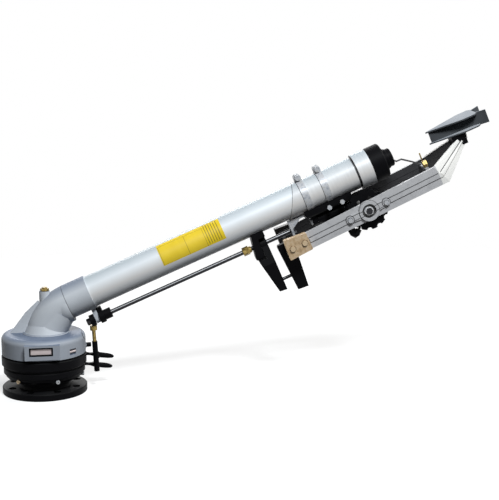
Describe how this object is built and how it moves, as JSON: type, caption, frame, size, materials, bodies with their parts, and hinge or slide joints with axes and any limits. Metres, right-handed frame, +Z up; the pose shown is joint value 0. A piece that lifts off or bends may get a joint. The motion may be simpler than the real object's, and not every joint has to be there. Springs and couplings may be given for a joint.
{
  "type": "big gun impact sprinkler",
  "caption": "Large-volume part-circle impact sprinkler: flanged braked turntable, curved elbow, inclined barrel with a ring nozzle, weighted drive arm, deflector and reversing gear.",
  "frame": {"origin": "centre of the inlet flange's lower face, on the swivel axis", "axes": "+Z up along the swivel axis, the barrel rises along +X at 23 degrees, and +Y completes the right-handed frame"},
  "size_m": [1.1565, 0.202, 0.654],
  "materials": {
    "black_casting": "semi-gloss black paint over cast iron",
    "silver_paint": "satin blue-grey silver paint",
    "barrel_metal": "satin drawn aluminium",
    "cast_aluminium": "as-cast, lightly blasted",
    "zinc_steel": "zinc-plated",
    "polished_steel": "ground and polished",
    "passivated_steel": "yellow-passivated zinc plate",
    "brass": "turned brass",
    "black_plastic": "moulded, fine grain",
    "black_rubber": "moulded nitrile rubber",
    "brake_lining": "pressed friction lining",
    "dark_steel": "dark phosphated steel",
    "bare_plate": "pale, matt"
  },
  "bodies": {
    "base": {"inlet_flange": "black_casting", "brake_housing": "black_casting", "housing_screws": "zinc_steel", "lip_seal": "black_rubber", "bearing_outer_race": "polished_steel", "brake_ring": "brake_lining", "ring_spacer": "black_casting"},
    "upper_ring": {"upper_stop_ring": "black_casting"},
    "lower_ring": {"lower_stop_ring": "black_casting"},
    "gun": {"turntable_bell": "silver_paint", "elbow": "silver_paint", "spindle": "zinc_steel", "bearing_inner_race": "polished_steel", "bearing_balls": "polished_steel", "bearing_nut": "zinc_steel", "bell_inserts": "bare_plate", "brake_screw": "black_casting", "port_plug": "brass", "barrel_socket": "silver_paint", "barrel": "barrel_metal", "stream_vanes": "barrel_metal", "nozzle_sleeve": "barrel_metal", "clamp_bands": "zinc_steel", "clamp_bolts": "zinc_steel", "nozzle_ring": "barrel_metal", "nozzle_cap": "black_plastic", "nozzle": "black_plastic", "rod_rear_bearing": "black_casting", "rod_hanger": "black_casting", "saddle": "black_casting", "saddle_bolts": "zinc_steel", "rod_bracket": "zinc_steel"},
    "reverser": {"reversing_rod": "polished_steel", "rod_nuts": "brass", "trip_hub": "black_casting", "trip_rod": "brass", "trip_sleeve": "black_plastic", "reversing_lever": "black_casting", "yoke": "black_casting", "trunnion_pin": "zinc_steel", "pivot_shaft": "polished_steel", "pivot_nuts": "zinc_steel", "stop_pad": "black_rubber", "detent": "black_casting"},
    "star": {"star_wheel": "black_plastic"},
    "drive_arm": {"near_arm": "cast_aluminium", "far_arm": "cast_aluminium", "bearing_carriers": "cast_aluminium", "arm_bushes": "brass", "arm_bolts": "zinc_steel", "arm_weights": "passivated_steel", "tail_weight": "black_casting", "tail_plate": "black_casting", "guide_pin": "polished_steel", "tie_bars": "zinc_steel", "deflector": "dark_steel", "deflector_bracket": "black_casting", "deflector_bolts": "zinc_steel", "breaker_wire": "dark_steel", "breaker_clamp": "brass"}
  },
  "joints": [
    {"name": "gun_turn", "type": "hinge", "parent": "base", "child": "gun", "pos_m": [0, 0, 0], "axis": [0, 0, 1], "range_deg": [-300, 0]},
    {"name": "upper_ring_turn", "type": "hinge", "parent": "base", "child": "upper_ring", "pos_m": [0, 0, 0], "axis": [0, 0, 1], "range_deg": [0, 30]},
    {"name": "lower_ring_turn", "type": "hinge", "parent": "base", "child": "lower_ring", "pos_m": [0, 0, 0], "axis": [0, 0, 1], "range_deg": [0, 30]},
    {"name": "reverse_roll", "type": "hinge", "parent": "gun", "child": "reverser", "pos_m": [0.0254, 0, 0.12767], "axis": [0.9205, 0, 0.3907], "range_deg": [-8, 0]},
    {"name": "arm_swing", "type": "hinge", "parent": "reverser", "child": "drive_arm", "pos_m": [0.76252, 0.00112, 0.42322], "axis": [-0.0273, 0.9976, 0.0642], "range_deg": [0, 8]},
    {"name": "star_turn", "type": "hinge", "parent": "reverser", "child": "star", "pos_m": [0.76252, 0.00112, 0.42322], "axis": [-0.0273, 0.9976, 0.0642], "continuous": true}
  ]
}
